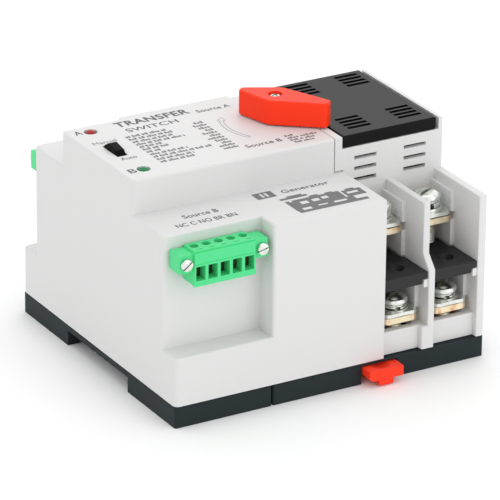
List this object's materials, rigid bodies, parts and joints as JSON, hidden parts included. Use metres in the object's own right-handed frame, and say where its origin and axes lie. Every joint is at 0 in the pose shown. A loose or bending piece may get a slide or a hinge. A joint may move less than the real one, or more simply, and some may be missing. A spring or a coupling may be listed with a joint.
{
  "type": "changeover switch",
  "caption": "Rail mounted changeover switch with a red turning handle, plug-in control terminals, screw terminals in open bays and a vented black cover.",
  "frame": {"origin": "middle of the rail seat, the ceiling of the 35.5 mm slot under the base", "axes": "+X to the right along the rail, +Y from the front (source B) to the back (source A), +Z away from the panel"},
  "size_m": [0.1, 0.094, 0.0724],
  "materials": {
    "shell_white": "fine moulded satin",
    "base_dark": "fine moulded satin",
    "cover_black": "satin",
    "handle_red": "semi gloss moulded",
    "latch_red": "semi gloss moulded",
    "spring_steel": "drawn wire",
    "plug_green": "semi gloss moulded",
    "header_green": "semi gloss moulded",
    "barrier_black": "satin",
    "rocker_black": "satin",
    "gear_nylon": "natural nylon",
    "carriage_brown": "thermoset moulding",
    "board_green": "solder mask",
    "zinc_plate": "bright zinc plate",
    "copper": "tinned and bare copper",
    "steel": "rolled sheet",
    "lamp_red": "clear tinted lens",
    "lamp_green": "clear tinted lens"
  },
  "bodies": {
    "root": {"controller_base": "base_dark", "switch_base": "base_dark", "main_housing": "shell_white", "switch_housing": "shell_white", "vent_cover": "cover_black", "latch_spring": "spring_steel", "drive_motor": "steel", "gear_plate": "steel", "load_bar_left": "copper", "source_bar_front_left": "copper", "arc_chute_front_left": "steel", "barrier_front_left": "barrier_black", "source_bar_back_left": "copper", "arc_chute_back_left": "steel", "barrier_back_left": "barrier_black", "load_bar_right": "copper", "source_bar_front_right": "copper", "arc_chute_front_right": "steel", "barrier_front_right": "barrier_black", "source_bar_back_right": "copper", "arc_chute_back_right": "steel", "barrier_back_right": "barrier_black", "header_front": "header_green", "header_back": "header_green", "mode_switch_body": "rocker_black", "lamp_a": "lamp_red", "lamp_b": "lamp_green", "circuit_board": "board_green"},
    "handle": {"handle": "handle_red", "handle_screw": "zinc_plate", "handle_shaft": "gear_nylon"},
    "idler": {"idler_gear": "gear_nylon"},
    "motor_gear": {"motor_pinion": "gear_nylon"},
    "carriage": {"contact_carriage": "carriage_brown", "moving_contact_left": "copper", "moving_contact_right": "copper"},
    "rocker": {"mode_rocker": "rocker_black"},
    "latch": {"din_latch": "latch_red"},
    "plug_front": {"plug_front": "plug_green", "plug_screw_front_left": "zinc_plate", "plug_screw_front_right": "zinc_plate"},
    "plug_back": {"plug_back": "plug_green", "plug_screw_back_left": "zinc_plate", "plug_screw_back_right": "zinc_plate"},
    "clamp_upper_front_left": {"clamp_upper_front_left": "zinc_plate", "screw_upper_front_left": "zinc_plate"},
    "clamp_lower_front_left": {"clamp_lower_front_left": "zinc_plate", "screw_lower_front_left": "zinc_plate"},
    "clamp_upper_back_left": {"clamp_upper_back_left": "zinc_plate", "screw_upper_back_left": "zinc_plate"},
    "clamp_lower_back_left": {"clamp_lower_back_left": "zinc_plate", "screw_lower_back_left": "zinc_plate"},
    "clamp_upper_front_right": {"clamp_upper_front_right": "zinc_plate", "screw_upper_front_right": "zinc_plate"},
    "clamp_lower_front_right": {"clamp_lower_front_right": "zinc_plate", "screw_lower_front_right": "zinc_plate"},
    "clamp_upper_back_right": {"clamp_upper_back_right": "zinc_plate", "screw_upper_back_right": "zinc_plate"},
    "clamp_lower_back_right": {"clamp_lower_back_right": "zinc_plate", "screw_lower_back_right": "zinc_plate"}
  },
  "joints": [
    {"name": "handle_turn", "type": "hinge", "parent": "root", "child": "handle", "pos_m": [0.007, 0, 0.0615], "axis": [0, 0, 1], "range_deg": [0, 100]},
    {"name": "idler_turn", "type": "hinge", "parent": "root", "child": "idler", "pos_m": [-0.0058, 0, 0.0375], "axis": [0, 0, 1], "range_deg": [-100, 0]},
    {"name": "motor_turn", "type": "hinge", "parent": "root", "child": "motor_gear", "pos_m": [-0.0154, 0, 0.0375], "axis": [0, 0, 1], "range_deg": [0, 200]},
    {"name": "carriage_slide", "type": "slide", "parent": "root", "child": "carriage", "axis": [0, -1, 0], "range_m": [0, 0.012]},
    {"name": "mode_rock", "type": "hinge", "parent": "root", "child": "rocker", "pos_m": [-0.0436, 0.001, 0.0591], "axis": [1, 0, 0], "range_deg": [-20, 0]},
    {"name": "latch_pull", "type": "slide", "parent": "root", "child": "latch", "axis": [0, -1, 0], "range_m": [0, 0.005], "stiffness_N_per_m": 500, "springref_m": -0.002, "deforming": ["latch_spring"]},
    {"name": "plug_pull_front", "type": "slide", "parent": "root", "child": "plug_front", "axis": [0, -1, 0], "range_m": [0, 0.008]},
    {"name": "plug_pull_back", "type": "slide", "parent": "root", "child": "plug_back", "axis": [0, 1, 0], "range_m": [0, 0.008]},
    {"name": "clamp_lift_upper_front_left", "type": "slide", "parent": "root", "child": "clamp_upper_front_left", "axis": [0, 0, 1], "range_m": [0, 0.0025]},
    {"name": "clamp_lift_lower_front_left", "type": "slide", "parent": "root", "child": "clamp_lower_front_left", "axis": [0, 0, 1], "range_m": [0, 0.0025]},
    {"name": "clamp_lift_upper_back_left", "type": "slide", "parent": "root", "child": "clamp_upper_back_left", "axis": [0, 0, 1], "range_m": [0, 0.0025]},
    {"name": "clamp_lift_lower_back_left", "type": "slide", "parent": "root", "child": "clamp_lower_back_left", "axis": [0, 0, 1], "range_m": [0, 0.0025]},
    {"name": "clamp_lift_upper_front_right", "type": "slide", "parent": "root", "child": "clamp_upper_front_right", "axis": [0, 0, 1], "range_m": [0, 0.0025]},
    {"name": "clamp_lift_lower_front_right", "type": "slide", "parent": "root", "child": "clamp_lower_front_right", "axis": [0, 0, 1], "range_m": [0, 0.0025]},
    {"name": "clamp_lift_upper_back_right", "type": "slide", "parent": "root", "child": "clamp_upper_back_right", "axis": [0, 0, 1], "range_m": [0, 0.0025]},
    {"name": "clamp_lift_lower_back_right", "type": "slide", "parent": "root", "child": "clamp_lower_back_right", "axis": [0, 0, 1], "range_m": [0, 0.0025]}
  ],
  "couplings": [
    {"joint": "handle_turn", "follows": "carriage_slide", "rad_per_m": 145.45},
    {"joint": "idler_turn", "follows": "carriage_slide", "rad_per_m": -145.45},
    {"joint": "motor_turn", "follows": "carriage_slide", "rad_per_m": 290.91}
  ]
}
